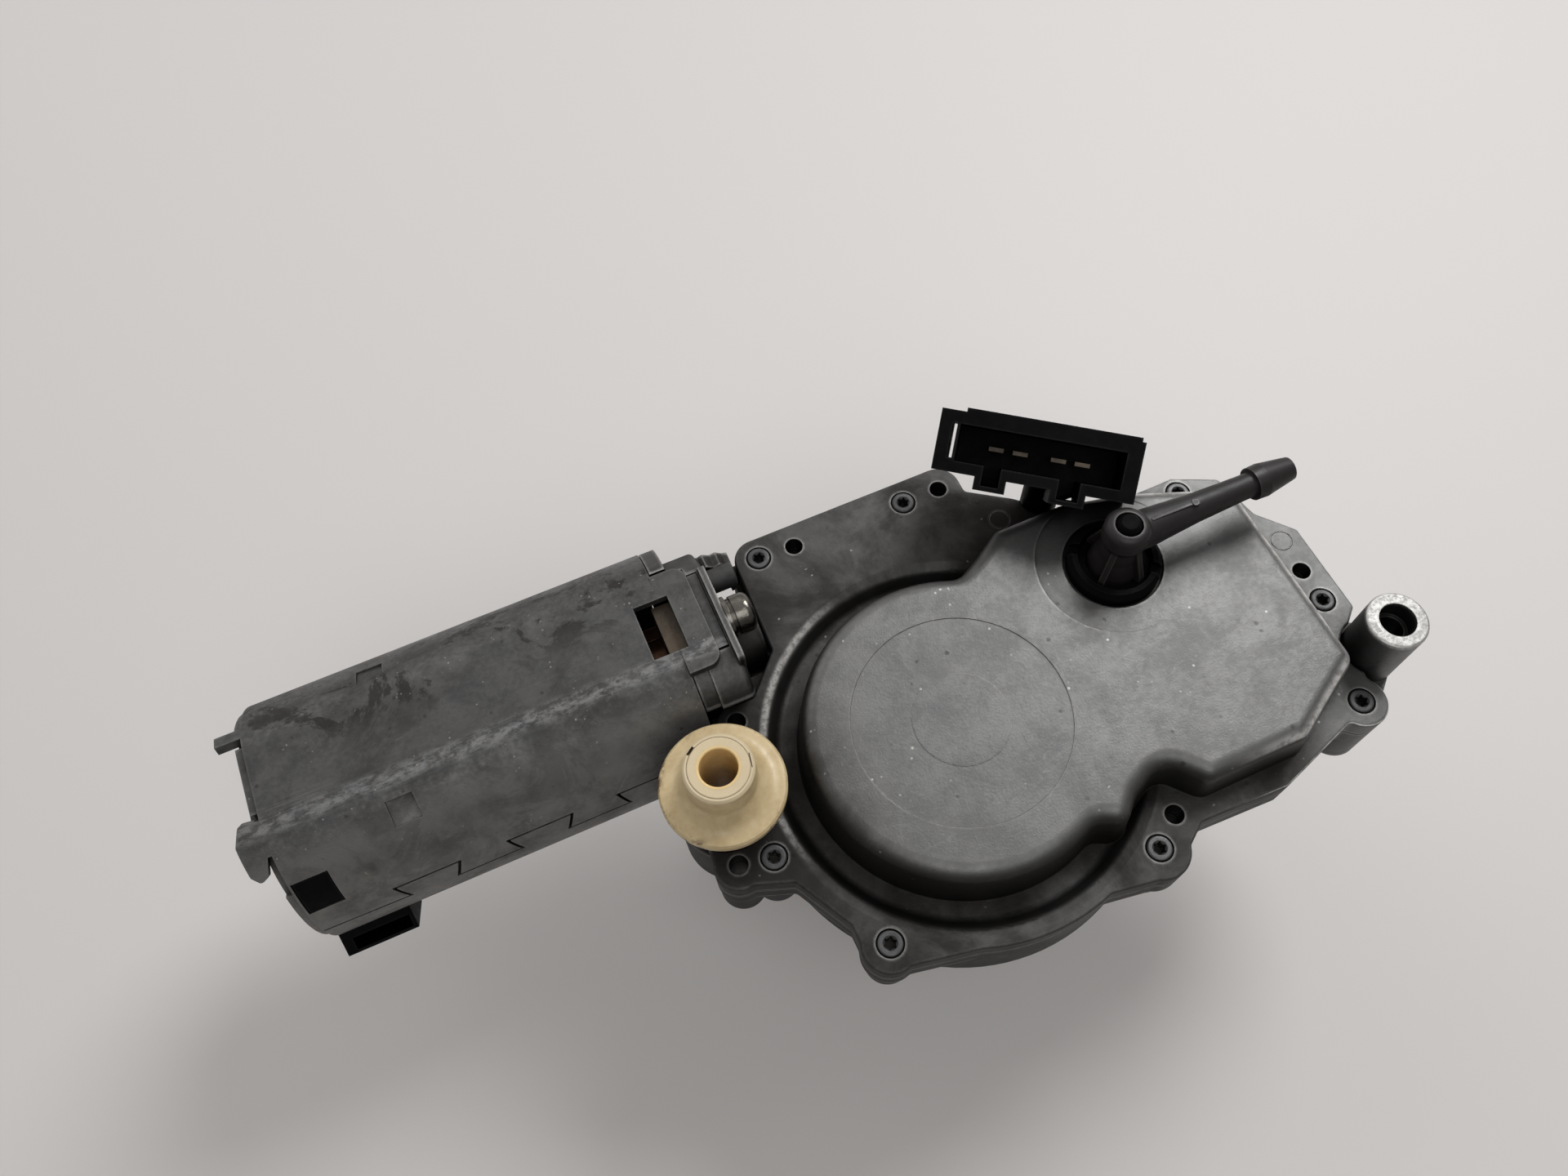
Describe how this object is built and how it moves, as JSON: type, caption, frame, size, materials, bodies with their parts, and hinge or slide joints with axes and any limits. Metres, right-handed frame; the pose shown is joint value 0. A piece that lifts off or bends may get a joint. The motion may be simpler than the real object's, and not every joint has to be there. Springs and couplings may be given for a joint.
{
  "type": "wiper motor",
  "caption": "Rear wiper gear motor: round-sided motor, worm gearbox with domed cover, angled plug socket, washer elbow over a hollow output shaft.",
  "frame": {"origin": "on the output shaft axis, in the middle of the plain end of the shaft tower that goes through the body panel", "axes": "+Z out of the gearbox cover along the output shaft, +X along the motor axis away from the motor, +Y completes the right-handed frame"},
  "size_m": [0.2076, 0.0996, 0.0985],
  "materials": {
    "die_cast": "bead-like cast skin, satin",
    "zinc_steel": "dull zinc-coated sheet",
    "dark_screw": "dark zinc coating",
    "bright_screw": "bright zinc coating",
    "gasket_paper": "pressed paper",
    "gear_nylon": "moulded nylon",
    "steel": "ground steel",
    "sintered_bronze": "sintered, oiled",
    "contact_brass": "stamped",
    "commutator_copper": "turned copper",
    "spring_steel": "drawn wire",
    "seal_rubber": "matte",
    "black_plastic": "moulded, satin",
    "elbow_plastic": "moulded, satin",
    "plug_plastic": "moulded, satin",
    "cream_plastic": "moulded, satin",
    "ferrite": "pressed ferrite",
    "core_steel": "stamped laminations",
    "copper_wire": "enamelled wire",
    "carbon": "pressed carbon"
  },
  "bodies": {
    "housing": {"gear_housing": "die_cast", "housing_cover": "die_cast", "motor_casing": "zinc_steel", "casing_end_plate": "zinc_steel", "cover_screws": "dark_screw", "motor_screws": "bright_screw", "cover_gasket": "gasket_paper", "wheel_axle": "steel", "axle_clip": "steel", "mount_washer": "steel", "thrust_ball": "steel", "thrust_pad": "steel", "shaft_upper_bush": "sintered_bronze", "shaft_lower_bush": "sintered_bronze", "rear_bush": "sintered_bronze", "front_bush": "sintered_bronze", "nose_bush": "sintered_bronze", "park_contacts": "contact_brass", "connector_terminals": "contact_brass", "brush_holders": "contact_brass", "brush_springs": "spring_steel", "shaft_seal": "seal_rubber", "elbow_seal": "seal_rubber", "mount_grommet": "seal_rubber", "lead_grommet": "seal_rubber", "elbow_holder": "black_plastic", "connector_housing": "black_plastic", "contact_plate": "black_plastic", "bearing_carrier": "black_plastic", "casing_clip": "black_plastic", "brush_plate": "black_plastic", "rear_thrust_pad": "black_plastic", "washer_elbow": "elbow_plastic", "elbow_plug": "plug_plastic", "mount_sleeve": "cream_plastic", "mount_bush": "cream_plastic", "near_magnet": "ferrite", "far_magnet": "ferrite", "carbon_brushes": "carbon"},
    "armature": {"armature_shaft": "steel", "armature_core": "core_steel", "armature_windings": "copper_wire", "commutator": "commutator_copper"},
    "wheel": {"worm_wheel": "gear_nylon", "crank_pin": "steel", "contact_disc": "contact_brass"},
    "link": {"swing_link": "steel", "sector_pin": "steel"},
    "rod": {"toothed_rod": "steel", "rod_bush": "sintered_bronze"},
    "output": {"output_shaft": "steel", "output_pinion": "steel", "shaft_circlip": "steel"}
  },
  "joints": [
    {"name": "armature_spin", "type": "hinge", "parent": "housing", "child": "armature", "pos_m": [0, 0.0225, 0.025], "axis": [1, 0, 0], "range_deg": [0, 9265.46]},
    {"name": "wheel_spin", "type": "hinge", "parent": "housing", "child": "wheel", "pos_m": [-0.0398, -0.016, 0.03], "axis": [0, 0, 1], "range_deg": [0, 171.63]},
    {"name": "link_swing", "type": "hinge", "parent": "housing", "child": "link", "pos_m": [0, 0, 0.03], "axis": [0, 0, 1], "range_deg": [-46.05, 0]},
    {"name": "rod_pivot", "type": "hinge", "parent": "link", "child": "rod", "pos_m": [0.01431, -0.01832, 0.03], "axis": [0, 0, 1], "range_deg": [0, 37.63]},
    {"name": "output_swing", "type": "hinge", "parent": "housing", "child": "output", "pos_m": [0, 0, 0.03], "axis": [0, 0, 1], "range_deg": [-114.38, 0]}
  ],
  "couplings": [
    {"joint": "wheel_spin", "follows": "armature_spin", "ratio": 0.018519},
    {"joint": "link_swing", "follows": "armature_spin", "ratio": -0.0049647},
    {"joint": "rod_pivot", "follows": "armature_spin", "ratio": 0.0040562},
    {"joint": "output_swing", "follows": "armature_spin", "ratio": -0.01234}
  ]
}
